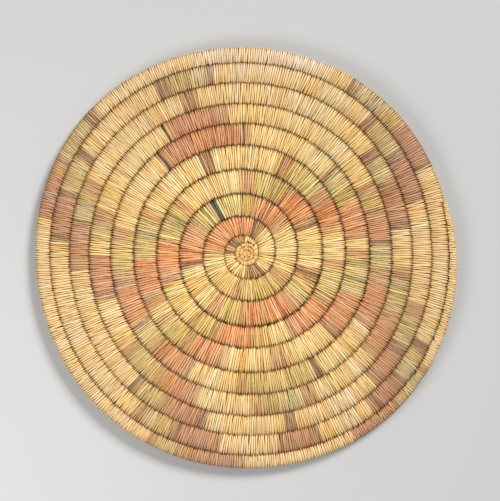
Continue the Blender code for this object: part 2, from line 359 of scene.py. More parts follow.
def outward(radius: np.ndarray, height: np.ndarray) -> tuple[np.ndarray, np.ndarray]:
    """Direction straight out of a section's outline at each of its points.

    Args:
        radius: Radii of the outline's points, with a row for each place.
        height: Their heights.

    Returns:
        The directions' shares along the radius and along the height.
    """
    run_radius = np.roll(radius, -1, axis=1) - np.roll(radius, 1, axis=1)
    run_height = np.roll(height, -1, axis=1) - np.roll(height, 1, axis=1)
    length = np.hypot(run_radius, run_height) + LEAST_LENGTH
    return run_height / length, -run_radius / length


def select_none() -> None:
    """Leave nothing selected, whatever is selected now."""
    for other in list(bpy.context.selected_objects):
        other.select_set(False)


def only(piece: bpy.types.Object) -> None:
    """Select one object alone and make it the active one.

    Args:
        piece: The object.
    """
    select_none()
    piece.select_set(True)
    bpy.context.view_layer.objects.active = piece


def select_where(piece: bpy.types.Object, test: Callable[[Vector], bool]) -> None:
    """Enter edit mode with the vertices selected that pass a test on their place.

    Args:
        piece: The object.
        test: Takes a vertex's place and says whether it is selected.
    """
    only(piece)
    bpy.ops.object.mode_set(mode="EDIT")
    bpy.ops.mesh.select_mode(type="VERT")
    bpy.ops.mesh.select_all(action="DESELECT")
    bpy.ops.object.mode_set(mode="OBJECT")
    for vertex in piece.data.vertices:
        vertex.select = test(vertex.co)
    bpy.ops.object.mode_set(mode="EDIT")


@dataclass(frozen=True)
class StripPattern:
    """One stitch as it is modelled: for each corner of a bent strip, its loop point and offsets."""

    loop_index: np.ndarray
    across: np.ndarray
    lift: np.ndarray
    faces: np.ndarray
    uv: np.ndarray


class StripMaker:
    """Models the one strip of leaf from which every stitch is copied."""

    LOOP_POINTS = 16
    DEPTH = 0.1
    OUTER_FACE = 1 - DEPTH / 2
    CROWN_SHARE = 0.72

    def model(self) -> StripPattern:
        """Make a ring of strip, give it a thickness and narrow its outer face.

        Returns:
            The strip's corners and faces, counted round the loop.
        """
        select_none()
        bpy.ops.mesh.primitive_cylinder_add(
            vertices=self.LOOP_POINTS, radius=1.0, depth=1.0, end_fill_type="NOTHING")
        strip = bpy.context.active_object
        strip.name = "leaf_strip_pattern"
        wall = strip.modifiers.new("leaf", "SOLIDIFY")
        wall.thickness = self.DEPTH
        wall.offset = -1.0
        wall.use_even_offset = False
        only(strip)
        bpy.ops.object.modifier_apply(modifier=wall.name)
        select_where(strip, lambda corner: corner.to_2d().length > self.OUTER_FACE)
        bpy.ops.transform.resize(value=(1, 1, self.CROWN_SHARE))
        bpy.ops.mesh.select_all(action="SELECT")
        bpy.ops.mesh.normals_make_consistent(inside=False)
        bpy.ops.object.mode_set(mode="OBJECT")
        pattern = self.read(strip)
        bpy.data.objects.remove(strip, do_unlink=True)
        return pattern

    def read(self, strip: bpy.types.Object) -> StripPattern:
        """Turn the modelled strip into loop points and offsets.

        The strip's loop runs the other way round the coil than round the cylinder, so each face's corners
        are taken in reverse to keep the faces outwards.

        Args:
            strip: The modelled strip, one wide and round the z axis.

        Returns:
            Its corners and faces, counted round the loop.
        """
        corners = np.array([vertex.co[:] for vertex in strip.data.vertices])
        angle = np.arctan2(corners[:, 1], corners[:, 0])
        step = 2 * np.pi / self.LOOP_POINTS
        offset = angle[0] / step
        loop_index = np.rint(angle / step - offset).astype(int) % self.LOOP_POINTS
        lift = np.where(np.hypot(corners[:, 0], corners[:, 1]) > self.OUTER_FACE, 1.0, 0.0)
        faces = np.array([list(face.vertices)[::-1] for face in strip.data.polygons])
        around = loop_index[faces].astype(float)
        crosses = around.max(axis=1) - around.min(axis=1) > 1
        around[crosses] = np.where(around[crosses] == 0, self.LOOP_POINTS, around[crosses])
        uv = np.stack([corners[:, 2][faces] + 0.5, around / self.LOOP_POINTS], axis=-1)
        return StripPattern(loop_index, corners[:, 2], lift, faces, uv)


@dataclass(frozen=True)
class Sewing:
    """How the maker sews: the strip's size, and how evenly the stitches lie."""

    pitch: float = 1.75 * MILLIMETRE
    cover: float = 0.98
    leaf_thickness: float = 0.65 * MILLIMETRE
    # How far the strips differ in width, along their edges, in depth and in tilt
    width_scatter: float = 0.20
    edge_scatter: float = 0.10
    sink_scatter: float = 0.12 * MILLIMETRE
    tilt_scatter: float = 0.09 * MILLIMETRE
    # Tone and tint: how far each strip has its own, and how far they drift from batch to batch
    tone_scatter: float = 0.165
    tone_drift: float = 0.035
    tone_batch: int = 24
    odd_share: float = 0.05
    odd_contrast: float = 2.4
    tint_scatter: float = 0.8
    tint_drift: float = 1.1
    tint_batch: int = 9
    # How much further than the seam the strips reach over the round inside
    bite: float = 0.15 * MILLIMETRE
    bite_scatter: float = 0.26 * MILLIMETRE
    # How the strips lean along the coil, as shares of its width, and how their middle lines sway
    lean: float = -0.06
    lean_swing: float = 0.05
    lean_scatter: float = 0.02
    sway: float = 0.09 * MILLIMETRE
    # The most of its room that a strip may fill, and how far strips widen with their radius
    crowding: float = 1.06
    fan: float = 0.8
    # How far colours mix at a run's border, and how near a run's tone and tint keep to its dye's
    border_scatter: float = 0.55
    batch_hold: float = 0.8
    batch_tint_hold: float = 0.5
    # Width of a black strip that stands alone, and of the strips beside it
    pinch: float = 0.5
    pinch_beside: float = 1.4
    seed: int = 41
    # Width of the strip round its loop, from the ridge over the crown
    width_shares: tuple[float, ...] = (
        0.80, 0.80, 0.88, 0.98, 1.0, 1.0, 0.96, 0.70, 0.62, 0.70, 0.96, 1.0, 1.0, 0.98, 0.88, 0.80)
    # Where each loop point stands between the seam, -0.5, and the ridge, 0.5
    lean_shares: tuple[float, ...] = (
        0.5, 0.46, 0.34, 0.16, 0.0, -0.2, -0.38, -0.5, -0.5, -0.5, -0.38, -0.2, 0.0, 0.16, 0.34, 0.46)


class Stitches:
    """All the stitches of a coil or ring: where each lies and how it differs from the rest."""

    CROWN_STEPS = 384
    TONE_LIMIT = 2.5
    # Strength, waves a turn and phase of each wave of the lean
    LEAN_WAVES = ((1.0, 1.7, 0.6), (0.6, 4.3, 2.1))
    # Waves round the strip's loop of each column of the sway
    SWAY_WAVES = (2, 3)

    def __init__(self, coil: Coil, sewing: Sewing, arch: Callable[[Coil, np.ndarray], Arch],
                 start: float, end: float, seed: int) -> None:
        """Space the stitches evenly along the coil's crown, with a little scatter.

        Args:
            coil: The spiral.
            sewing: How the stitches lie.
            arch: Gives the section at each place.
            start: The first place that is stitched.
            end: The last place that is stitched.
            seed: Seed of the scatter.
        """
        self.coil = coil
        self.sewing = sewing
        self.arch = arch
        self.draw = np.random.default_rng(seed)
        grid = np.linspace(start, end, int((end - start) * self.CROWN_STEPS) + 2)
        section = arch(coil, grid)
        crown = (section.inner + section.outer) / 2
        steps = 2 * np.pi * (crown[1:] + crown[:-1]) / 2 * np.diff(grid)
        length = np.concatenate([[0.0], np.cumsum(steps)])
        count = int(length[-1] / sewing.pitch)
        room = 1 + sewing.width_scatter * self.scatter(count)
        room *= length[-1] / room.sum()
        self.place = np.interp(np.cumsum(room) - room / 2, length, grid)
        self.width = room * sewing.cover
        self.tone = self.tones(count)
        self.tint = self.tints(count)
        self.bite = sewing.bite + sewing.bite_scatter * self.scatter(count)
        self.sink = sewing.sink_scatter * self.draw.random(count)
        self.tilt = sewing.tilt_scatter * self.scatter(count)
        swing = np.zeros(count)
        for strength, waves, phase in self.LEAN_WAVES:
            swing += strength * np.sin(2 * np.pi * waves * self.place + phase)
        swing /= sum(strength for strength, _, _ in self.LEAN_WAVES)
        self.lean = sewing.lean + sewing.lean_swing * swing + sewing.lean_scatter * self.scatter(count)
        # The last of the three columns isn't used, but it keeps the draws that follow as they are
        self.sway = sewing.sway * self.scatter((count, 3))
        self.ragged = 1 + sewing.edge_scatter * self.scatter((count, StripMaker.LOOP_POINTS))

    def scatter(self, shape: int | tuple[int, int], limit: float = 2.0) -> np.ndarray:
        """Draw normal values, held within a limit on both sides of nil."""
        return self.draw.standard_normal(shape).clip(-limit, limit)

    def tones(self, count: int) -> np.ndarray:
        """Draw each stitch's tone: it drifts from batch to batch of leaf, and a few strips stand out.

        Args:
            count: Number of stitches.

        Returns:
            Values round a half, mostly between 0 and 1.
        """
        own = self.scatter(count, self.TONE_LIMIT)
        odd = self.draw.random(count) < self.sewing.odd_share
        own = own * np.where(odd, self.sewing.odd_contrast, 1.0)
        drift = self.drift(count, self.sewing.tone_batch)
        return 0.5 + self.sewing.tone_drift * drift + self.sewing.tone_scatter * own

    def tints(self, count: int) -> np.ndarray:
        """Draw each stitch's tint, from greenish and pale below nil to warm and golden above it.

        Args:
            count: Number of stitches.

        Returns:
            Values round nil, mostly between -2 and 2.
        """
        own = self.scatter(count)
        drift = self.drift(count, self.sewing.tint_batch)
        return self.sewing.tint_drift * drift + self.sewing.tint_scatter * own

    def drift(self, count: int, batch: int) -> np.ndarray:
        """Draw values that wander slowly from stitch to stitch, as one batch of leaf gives way to the next.

        Args:
            count: Number of stitches.
            batch: Stitches sewn from one batch.

        Returns:
            Values round nil, between -2 and 2.
        """
        knots = self.scatter(count // batch + 2)
        return np.interp(np.arange(count) / batch, np.arange(len(knots)), knots)

    def widths(self, chosen: np.ndarray, arch: Arch, radius: np.ndarray) -> np.ndarray:
        """Width of each chosen strip round its loop. It fans out with the room that the spiral gives.

        Args:
            chosen: Indices of the stitches.
            arch: The coil's sections at the stitches.
            radius: Radii of the sections' outlines.

        Returns:
            Widths, with a row for each stitch and a column for each point of the loop.
        """
        room = radius / ((arch.inner + arch.outer) / 2)[:, None]
        fanned = 1 + self.sewing.fan * (room - 1)
        width = self.width[chosen][:, None] * np.minimum(fanned, room * self.sewing.crowding)
        return width * self.ragged[chosen] * np.array(self.sewing.width_shares)

    def shifts(self, chosen: np.ndarray, arch: Arch) -> np.ndarray:
        """How far lean and sway carry each chosen strip along the coil.

        Args:
            chosen: Indices of the stitches.
            arch: The coil's sections at the stitches.

        Returns:
            Distances, with a row for each stitch and a column for each point of the loop.
        """
        lean = (self.lean[chosen] * (arch.outer - arch.inner))[:, None] * np.array(self.sewing.lean_shares)
        around = 2 * np.pi * np.arange(StripMaker.LOOP_POINTS) / StripMaker.LOOP_POINTS
        first, second = self.SWAY_WAVES
        sway = self.sway[chosen]
        return lean + sway[:, :1] * np.sin(first * around) + sway[:, 1:2] * np.cos(second * around)

    def corners(self, chosen: np.ndarray, strip: StripPattern) -> np.ndarray:
        """Corner points of the chosen stitches.

        Args:
            chosen: Indices of the stitches.
            strip: The strip that is bent round the coil.

        Returns:
            Points, with an axis for the stitches, one for the strip's corners and one for x, y, z.
        """
        place = self.place[chosen]
        arch = self.arch(self.coil, place, self.bite[chosen])
        radius, height = arch.loop()
        out_radius, out_height = outward(radius, height)
        index = strip.loop_index
        across = strip.across * self.widths(chosen, arch, radius)[:, index]
        along = self.shifts(chosen, arch)[:, index] + across
        # The strip is one wide, so twice its offset is 1 at its edge
        sink = self.sink[chosen][:, None] + self.tilt[chosen][:, None] * strip.across * 2
        small = np.minimum(1.0, arch.rise / (self.coil.thickness / 2))[:, None]
        depth = (self.sewing.leaf_thickness * (1 - strip.lift) + np.maximum(sink, 0.0)) * small
        corner_radius = radius[:, index] - out_radius[:, index] * depth
        corner_height = height[:, index] - out_height[:, index] * depth
        turn = along / (2 * np.pi * radius[:, index])
        return self.coil.point(corner_radius, corner_height, place[:, None] + turn)


@dataclass(frozen=True)
class Run:
    """A run of stitches of one colour."""

    round_number: int
    dye: Dye
    deep: bool
    end: float


def read_pattern() -> list[Run]:
    """Read the pattern.

    Returns:
        Its runs, in order along the coil.
    """
    runs = []
    for index, line in enumerate(PATTERN):
        for word in line.split():
            end = index + (float(word[1:]) - TOP) / 360
            runs.append(Run(index + 1, Dye(word[0].lower()), word[0].isupper(), end))
    return runs


Colour = tuple[float, float, float, float]


def seen(red: float, green: float, blue: float) -> Colour:
    """Turn a colour as seen on a screen into the linear colour that a shader takes.

    Args:
        red: Red from 0 to 255.
        green: Green from 0 to 255.
        blue: Blue from 0 to 255.

    Returns:
        The linear colour, opaque.
    """
    linear = []
    for value in (red / 255, green / 255, blue / 255):
        linear.append(value / 12.92 if value <= 0.04045 else ((value + 0.055) / 1.055) ** 2.4)
    return (linear[0], linear[1], linear[2], 1.0)


@dataclass(frozen=True)
class LeafFinish:
    """Finish of one dye's leaf strips: its range of colours and how it takes light."""

    slot: str
    dark: Colour
    common: Colour
    pale: Colour
    faded: Colour
    fade: float
    blotch: float
    roughness: float
    deep_tone: float = 0.0
    light_tone: float = 0.0
    variety: float = 1.0


LEAF_FINISHES = {
    Dye.STRAW: LeafFinish(
        "straw_weft", dark=seen(216, 161, 87), common=seen(252, 212, 129), pale=seen(255, 240, 184),
        faded=seen(224, 188, 136), fade=0.6, blotch=0.22, roughness=0.55),
    Dye.GREEN: LeafFinish(
        "green_weft", dark=seen(160, 140, 80), common=seen(228, 192, 113), pale=seen(250, 226, 140),
        faded=seen(196, 168, 122), fade=0.6, blotch=0.30, roughness=0.58, deep_tone=-0.08, light_tone=0.07,
        variety=1.5),
    Dye.UMBER: LeafFinish(
        "umber_weft", dark=seen(140, 96, 62), common=seen(220, 166, 106), pale=seen(242, 194, 126),
        faded=seen(168, 138, 106), fade=0.5, blotch=0.32, roughness=0.60, deep_tone=-0.22, light_tone=0.09,
        variety=1.3),
    Dye.RED: LeafFinish(
        "red_weft", dark=seen(186, 110, 66), common=seen(244, 166, 103), pale=seen(252, 202, 138),
        faded=seen(180, 138, 106), fade=0.78, blotch=0.30, roughness=0.58, deep_tone=-0.14, variety=1.2),
    Dye.BLACK: LeafFinish(
        "black_weft", dark=seen(54, 52, 50), common=seen(96, 89, 76), pale=seen(132, 120, 96),
        faded=seen(96, 88, 78), fade=0.3, blotch=0.3, roughness=0.50),
}


@dataclass(frozen=True)
class LeafAgeAndShade:
    """What age and use did to all the leaf alike, the painted shade at the strips' edges and in the seams,
    the paler top rim, and its relief.
    """

    # Colour and strength of the paler top rim
    top_rim_pale: Colour = seen(252, 226, 190)
    top_rim_paling: float = 0.45
    # Painted shade at the strips' edges: its colour and strength
    edge_shadow: Colour = seen(176, 128, 76)
    edge_depth: float = 0.5
    # Dirt and painted shade in the seams: its colour and strength
    seam_dirt_and_shade: Colour = seen(92, 62, 36)
    seam_dirt_and_shade_strength: float = 0.62
    ribs: float = 0.6
    relief: float = 0.5
    relief_height: float = 0.15 * MILLIMETRE


@dataclass(frozen=True)
class GrassFinish:
    """Finish of the dry grass stems in the bundle."""

    dark: Colour = seen(34, 22, 12)
    pale: Colour = seen(96, 68, 36)
    roughness: float = 0.85
    stem_scale: tuple[float, float, float] = (1.0, 26.0, 1.0)
    noise_scale: float = 2.0
    noise_detail: float = 3.0
    colour_range: tuple[float, float] = (0.35, 0.68)
    relief: float = 0.6
    relief_height: float = 0.4 * MILLIMETRE


class NodeBench:
    """Places and links the nodes of one material or node group."""

    def __init__(self, tree: bpy.types.NodeTree) -> None:
        """Start on an empty tree."""
        self.tree = tree
        tree.nodes.clear()

    def add(self, kind: str, **values: object) -> bpy.types.Node:
        """Add a node and set its own values.

        Args:
            kind: The node's type.
            values: Values by the names of its settings.

        Returns:
            The node.
        """
        node = self.tree.nodes.new(kind)
        for name, value in values.items():
            setattr(node, name, value)
        return node

    def link(self, source: bpy.types.NodeSocket, target: bpy.types.NodeSocket) -> None:
        """Join an output to an input."""
        self.tree.links.new(source, target)

    def feed(self, target: bpy.types.NodeSocket, value: object) -> None:
        """Give an input its value.

        Args:
            target: The input.
            value: An output to join to it, or a plain value to set.
        """
        if isinstance(value, bpy.types.NodeSocket):
            self.link(value, target)
        else:
            target.default_value = value

    def fill(self, node: bpy.types.Node, values: dict[str, object]) -> bpy.types.bpy_prop_collection:
        """Feed a node's inputs.

        Args:
            node: The node.
            values: Outputs or plain values, by the names of its inputs.

        Returns:
            The node's outputs.
        """
        for name, value in values.items():
            self.feed(node.inputs[name], value)
        return node.outputs

    def group(self, tree: bpy.types.NodeTree, values: dict[str, object]) -> bpy.types.bpy_prop_collection:
        """Place a node group, feed its inputs and return its outputs."""
        return self.fill(self.add("ShaderNodeGroup", node_tree=tree), values)

    def math(self, operation: str, *operands: object, clamp: bool = False) -> bpy.types.NodeSocket:
        """Add a Math node.

        Args:
            operation: What it does.
            operands: Outputs or numbers, in the order of its inputs.
            clamp: Whether its result is held between 0 and 1.

        Returns:
            Its output.
        """
        node = self.add("ShaderNodeMath", operation=operation, use_clamp=clamp)
        for target, value in zip(node.inputs, operands):
            self.feed(target, value)
        return node.outputs[0]

    def vector(self, operation: str, *operands: object) -> bpy.types.bpy_prop_collection:
        """Add a Vector Math node.

        Args:
            operation: What it does.
            operands: Outputs or vectors, in the order of its inputs.

        Returns:
            Its outputs.
        """
        node = self.add("ShaderNodeVectorMath", operation=operation)
        for target, value in zip(node.inputs, operands):
            self.feed(target, value)
        return node.outputs

    def mix(self, factor: object, first: object, second: object, blend: str = "MIX") -> bpy.types.NodeSocket:
        """Add a colour Mix node.

        Args:
            factor: How much of the second colour there is.
            first: The first colour.
            second: The second colour.
            blend: How they are mixed.

        Returns:
            Its output.
        """
        node = self.add("ShaderNodeMix", data_type="RGBA", blend_type=blend)
        for name, value in (("Factor_Float", factor), ("A_Color", first), ("B_Color", second)):
            self.feed(next(item for item in node.inputs if item.identifier == name), value)
        return next(item for item in node.outputs if item.identifier == "Result_Color")

    def noise(self, vector: bpy.types.NodeSocket, scale: float, detail: float) -> bpy.types.NodeSocket:
        """Add a Noise texture and return its value."""
        node = self.add("ShaderNodeTexNoise")
        return self.fill(node, {"Vector": vector, "Scale": scale, "Detail": detail})["Fac"]

    def marks(self, place: bpy.types.NodeSocket, scale: float, detail: float, strength: float
              ) -> bpy.types.NodeSocket:
        """Add noise round nil, times a strength."""
        level = self.math("SUBTRACT", self.noise(place, scale, detail), 0.5)
        return self.math("MULTIPLY", level, strength)

    def spread(self, value: bpy.types.NodeSocket, low: float, high: float) -> bpy.types.NodeSocket:
        """Map a range of values onto 0 to 1, smoothly and clamped."""
        node = self.add("ShaderNodeMapRange", interpolation_type="SMOOTHSTEP")
        return self.fill(node, {"Value": value, "From Min": low, "From Max": high})["Result"]

    def scaled(self, vector: bpy.types.NodeSocket, scale: Sequence[float]) -> bpy.types.NodeSocket:
        """Scale a vector by three factors through a Mapping node."""
        return self.fill(self.add("ShaderNodeMapping"), {"Vector": vector, "Scale": scale})["Vector"]

    def bump(self, height: bpy.types.NodeSocket, strength: float, distance: float) -> bpy.types.NodeSocket:
        """Add a Bump node and return its normal."""
        values = {"Height": height, "Strength": strength, "Distance": distance}
        return self.fill(self.add("ShaderNodeBump"), values)["Normal"]


def new_group(name: str, inputs: dict[str, str], outputs: dict[str, str]
              ) -> tuple[NodeBench, bpy.types.bpy_prop_collection, bpy.types.bpy_prop_collection]:
    """Start a shader node group with named sockets.

    Args:
        name: The group's name.
        inputs: Socket types by the names of its inputs.
        outputs: Socket types by the names of its outputs.

    Returns:
        The bench of the group's tree, the sockets that give its inputs and those that take its outputs.
    """
    group = bpy.data.node_groups.new(name, "ShaderNodeTree")
    for side, sockets in (("INPUT", inputs), ("OUTPUT", outputs)):
        for label, kind in sockets.items():
            group.interface.new_socket(name=label, in_out=side, socket_type=kind)
    bench = NodeBench(group)
    return bench, bench.add("NodeGroupInput").outputs, bench.add("NodeGroupOutput").inputs


class LeafEffects:
    """The node groups that every leaf material shares, each built once."""

    FLOAT = "NodeSocketFloat"
    COLOUR = "NodeSocketColor"
    VECTOR = "NodeSocketVector"
    # Fibre along a strip, in scales of the strip's own map
    FINE_SCALE = (9.0, 5.0, 1.0)
    FINE_DETAIL = 3.0
    FINE_SHARE = 0.6
    COARSE_SCALE = (2.6, 1.6, 1.0)
    COARSE_DETAIL = 1.0
    STRIP_OFFSET = 37.0
    STREAK_RANGE = (0.32, 0.68)
    STREAK_STRENGTH = 0.5
    # A stitch's own hue
    TINT_STRENGTH = 0.18
    COOL_VEIL = (0.99, 1.09, 1.40, 1.0)
    WARM_VEIL = (1.01, 0.91, 0.68, 1.0)
    # Blotches: the scale, the detail and the strength of large patches and of small flecks
    PATCHES = (62.0, 2.5, 1.1)
    FLECKS = (620.0, 2.0, 2.5)
    # Distances from the middle between which the leaf fades, and towards the top, turns paler
    FADE_RANGE = (0.045, 0.178)
    TOP_RIM_PALE_RANGE = (0.138, 0.170)
    TOP_DIRECTION = (0.05, 1.0, 0.0)
    FLAT = (1.0, 1.0, 0.0)
    # Dirt and painted shade in the seams, by shares of the way round the strip's loop, at the biting lip and
    # at the tucked end
    LIP_RANGE = (0.395, 0.445)
    TUCK_RANGE = (0.165, 0.120)
    DIRT_AND_SHADE_SCALE = 330.0
    DIRT_AND_SHADE_DETAIL = 1.5
    DIRT_AND_SHADE_RANGE = (0.40, 0.62)
    DIRT_AND_SHADE_UNEVENNESS = 0.65
    CENTRE_DIRT_AND_SHADE = 1.5
    RIM_DIRT_AND_SHADE = 0.5
    # Painted shade at a strip's edges, by its distance from the middle of the strip
    EDGE_RANGE = (0.30, 0.48)

    def __init__(self) -> None:
        """Build the groups."""
        self.fibre = self.build_fibre()
        self.tone = self.build_tone()
        self.tint = self.build_tint()
        self.age_and_shade = self.build_age_and_shade()

    def build_fibre(self) -> bpy.types.NodeTree:
        """Make fine ribs along a strip.

        Returns:
            The group, which gives a height for the bump and a mask for the colour.
        """
        bench, given, result = new_group(
            "leaf_fibre",
            {"Strip UV": self.VECTOR, "Tone": self.FLOAT, "Ribs": self.FLOAT},
            {"Height": self.FLOAT, "Streaks": self.FLOAT})
        own = bench.math("MULTIPLY", given["Tone"], self.STRIP_OFFSET)
        offset = bench.fill(bench.add("ShaderNodeCombineXYZ"), {"Z": own})["Vector"]
        place = bench.vector("ADD", given["Strip UV"], offset)["Vector"]
        fine = bench.noise(bench.scaled(place, self.FINE_SCALE), 1.0, self.FINE_DETAIL)
        coarse = bench.noise(bench.scaled(place, self.COARSE_SCALE), 1.0, self.COARSE_DETAIL)
        ribs = bench.math("MULTIPLY", fine, given["Ribs"])
        bench.link(bench.math("ADD", ribs, coarse), result["Height"])
        fine_part = bench.math("MULTIPLY", fine, self.FINE_SHARE)
        coarse_part = bench.math("MULTIPLY", coarse, 1 - self.FINE_SHARE)
        streaks = bench.math("ADD", fine_part, coarse_part)
        bench.link(bench.spread(streaks, *self.STREAK_RANGE), result["Streaks"])
        return bench.tree

    def build_tone(self) -> bpy.types.NodeTree:
        """Choose a stitch's own colour out of its dye's range.

        Returns:
            The group.
        """
        bench, given, result = new_group(
            "stitch_tone",
            {"Tone": self.FLOAT, "Streaks": self.FLOAT, "Blotch": self.FLOAT, "Dark": self.COLOUR,
             "Common": self.COLOUR, "Pale": self.COLOUR},
            {"Colour": self.COLOUR})
        streaks = bench.math("SUBTRACT", given["Streaks"], 0.5)
        shade = bench.math("ADD", given["Tone"], bench.math("MULTIPLY", streaks, self.STREAK_STRENGTH))
        shade = bench.math("SUBTRACT", shade, given["Blotch"])
        lower = bench.mix(bench.spread(shade, 0.0, 0.5), given["Dark"], given["Common"])
        upper = bench.mix(bench.spread(shade, 0.5, 1.0), lower, given["Pale"])
        bench.link(upper, result["Colour"])
        return bench.tree

    def build_tint(self) -> bpy.types.NodeTree:
        """Give a stitch its own hue: greenish and pale, or warm and golden.

        Returns:
            The group.
        """
        bench, given, result = new_group(
            "stitch_tint", {"Colour": self.COLOUR, "Tint": self.FLOAT}, {"Colour": self.COLOUR})
        side = bench.math("MULTIPLY_ADD", given["Tint"], self.TINT_STRENGTH, 0.5, clamp=True)
        veil = bench.mix(side, self.COOL_VEIL, self.WARM_VEIL)
        bench.link(bench.mix(1.0, given["Colour"], veil, "MULTIPLY"), result["Colour"])
        return bench.tree

    def build_age_and_shade(self) -> bpy.types.NodeTree:
        """Mark the leaf: blotches, fading to the rim, paler towards the top rim, painted shade at the
        strips' edges, and dirt with painted shade in the seams.

        Returns:
            The group, which gives a mask for each.
        """
        bench, given, result = new_group(
            "age_and_grime",
            {"Place": self.VECTOR, "Strip UV": self.VECTOR},
            {"Blotch": self.FLOAT, "Fade": self.FLOAT, "Bleach": self.FLOAT, "Grime": self.FLOAT,
             "Edge": self.FLOAT})
        patches = bench.marks(given["Place"], *self.PATCHES)
        flecks = bench.marks(given["Place"], *self.FLECKS)
        bench.link(bench.math("ADD", patches, flecks), result["Blotch"])
        flat = bench.scaled(given["Place"], self.FLAT)
        outwards = bench.spread(bench.vector("LENGTH", flat)["Value"], *self.FADE_RANGE)
        bench.link(outwards, result["Fade"])
        # Paler towards the top rim
        upwards = bench.vector("DOT_PRODUCT", flat, self.TOP_DIRECTION)["Value"]
        bench.link(bench.spread(upwards, *self.TOP_RIM_PALE_RANGE), result["Bleach"])
        strip = bench.fill(bench.add("ShaderNodeSeparateXYZ"), {"Vector": given["Strip UV"]})
        # The back half of the loop mirrors the front half
        along = bench.math("PINGPONG", strip["Y"], 0.5)
        # Dirt and painted shade in the seams, at the biting lip and the tucked end, uneven, and stronger
        # near the middle than at the rim
        lip = bench.spread(along, *self.LIP_RANGE)
        tuck = bench.spread(along, *self.TUCK_RANGE)
        uneven = bench.noise(given["Place"], self.DIRT_AND_SHADE_SCALE, self.DIRT_AND_SHADE_DETAIL)
        uneven = bench.math("MULTIPLY", bench.spread(uneven, *self.DIRT_AND_SHADE_RANGE), self.DIRT_AND_SHADE_UNEVENNESS)
        depth = bench.math("ADD", uneven, 1 - self.DIRT_AND_SHADE_UNEVENNESS)
        seam = bench.math("MULTIPLY", bench.math("MAXIMUM", lip, tuck), depth)
        lessening = bench.math("MULTIPLY", outwards, self.RIM_DIRT_AND_SHADE - self.CENTRE_DIRT_AND_SHADE)
        weight = bench.math("ADD", lessening, self.CENTRE_DIRT_AND_SHADE)
        bench.link(bench.math("MULTIPLY", seam, weight), result["Grime"])
        # Painted shade at the strips' edges
        from_middle = bench.math("ABSOLUTE", bench.math("SUBTRACT", strip["X"], 0.5))
        bench.link(bench.spread(from_middle, *self.EDGE_RANGE), result["Edge"])
        return bench.tree


class Dresser:
    """Makes the materials."""

    def __init__(self) -> None:
        """Build what the materials share."""
        self.effects = LeafEffects()
        self.leaf_age_and_shade = LeafAgeAndShade()

    @staticmethod
    def start(name: str, roughness: float) -> tuple[NodeBench, bpy.types.Material, bpy.types.Node]:
        """Start a material with a Principled BSDF.

        Args:
            name: The material's name.
            roughness: Its roughness.

        Returns:
            The bench of its nodes, the material and its shader.
        """
        material = bpy.data.materials.new(name)
        material.use_nodes = True
        bench = NodeBench(material.node_tree)
        shader = bench.add("ShaderNodeBsdfPrincipled")
        shader.inputs["Roughness"].default_value = roughness
        output = bench.add("ShaderNodeOutputMaterial")
        bench.link(shader.outputs["BSDF"], output.inputs["Surface"])
        return bench, material, shader

    def leaf(self, dye: Dye) -> bpy.types.Material:
        """Make the material of one dye's leaf strips.

        Args:
            dye: The dye.

        Returns:
            The material.
        """
        finish = LEAF_FINISHES[dye]
        leaf_age_and_shade = self.leaf_age_and_shade
        bench, material, shader = self.start(f"{dye.name.lower()}_leaf", finish.roughness)
        strip_uv = bench.add("ShaderNodeUVMap", uv_map="strip").outputs["UV"]
        place = bench.add("ShaderNodeTexCoord").outputs["Object"]
        tone = bench.add("ShaderNodeAttribute", attribute_name="tone").outputs["Fac"]
        tint = bench.add("ShaderNodeAttribute", attribute_name="tint").outputs["Fac"]
        fibre = bench.group(self.effects.fibre, {"Strip UV": strip_uv, "Tone": tone, "Ribs": leaf_age_and_shade.ribs})
        age_and_shade = bench.group(self.effects.age_and_shade, {"Place": place, "Strip UV": strip_uv})
        blotch = bench.math("MULTIPLY", age_and_shade["Blotch"], finish.blotch)
        colour = bench.group(self.effects.tone, {
            "Tone": tone, "Streaks": fibre["Streaks"], "Blotch": blotch,
            "Dark": finish.dark, "Common": finish.common, "Pale": finish.pale})["Colour"]
        colour = bench.mix(bench.math("MULTIPLY", age_and_shade["Fade"], finish.fade), colour, finish.faded)
        # Paler towards the top rim
        colour = bench.mix(bench.math("MULTIPLY", age_and_shade["Bleach"], leaf_age_and_shade.top_rim_paling), colour, leaf_age_and_shade.top_rim_pale)
        hue = bench.math("MULTIPLY", tint, finish.variety)
        colour = bench.group(self.effects.tint, {"Colour": colour, "Tint": hue})["Colour"]
        # Painted shade at each strip's edges
        edge = bench.math("MULTIPLY", age_and_shade["Edge"], leaf_age_and_shade.edge_depth)
        colour = bench.mix(edge, colour, leaf_age_and_shade.edge_shadow, "MULTIPLY")
        # Dirt and painted shade in the seams
        dirt_and_shade = bench.math("MULTIPLY", age_and_shade["Grime"], leaf_age_and_shade.seam_dirt_and_shade_strength)
        bench.link(bench.mix(dirt_and_shade, colour, leaf_age_and_shade.seam_dirt_and_shade, "MULTIPLY"), shader.inputs["Base Color"])
        bench.link(bench.bump(fibre["Height"], leaf_age_and_shade.relief, leaf_age_and_shade.relief_height), shader.inputs["Normal"])
        return material

    def grass(self) -> bpy.types.Material:
        """Make the material of the grass bundle, seen only in the gaps between stitches.

        Returns:
            The material.
        """
        finish = GrassFinish()
        bench, material, shader = self.start("grass_bundle", finish.roughness)
        along = bench.add("ShaderNodeUVMap", uv_map="strip").outputs["UV"]
        stems = bench.noise(bench.scaled(along, finish.stem_scale), finish.noise_scale, finish.noise_detail)
        colour = bench.mix(bench.spread(stems, *finish.colour_range), finish.dark, finish.pale)
        bench.link(colour, shader.inputs["Base Color"])
        bench.link(bench.bump(stems, finish.relief, finish.relief_height), shader.inputs["Normal"])
        return material

    def plain(self, name: str, colour: Colour, roughness: float) -> bpy.types.Material:
        """Make a material of one colour.

        Args:
            name: The material's name.
            colour: Its colour.
            roughness: Its roughness.

        Returns:
            The material.
        """
        _, material, shader = self.start(name, roughness)
        shader.inputs["Base Color"].default_value = colour
        return material


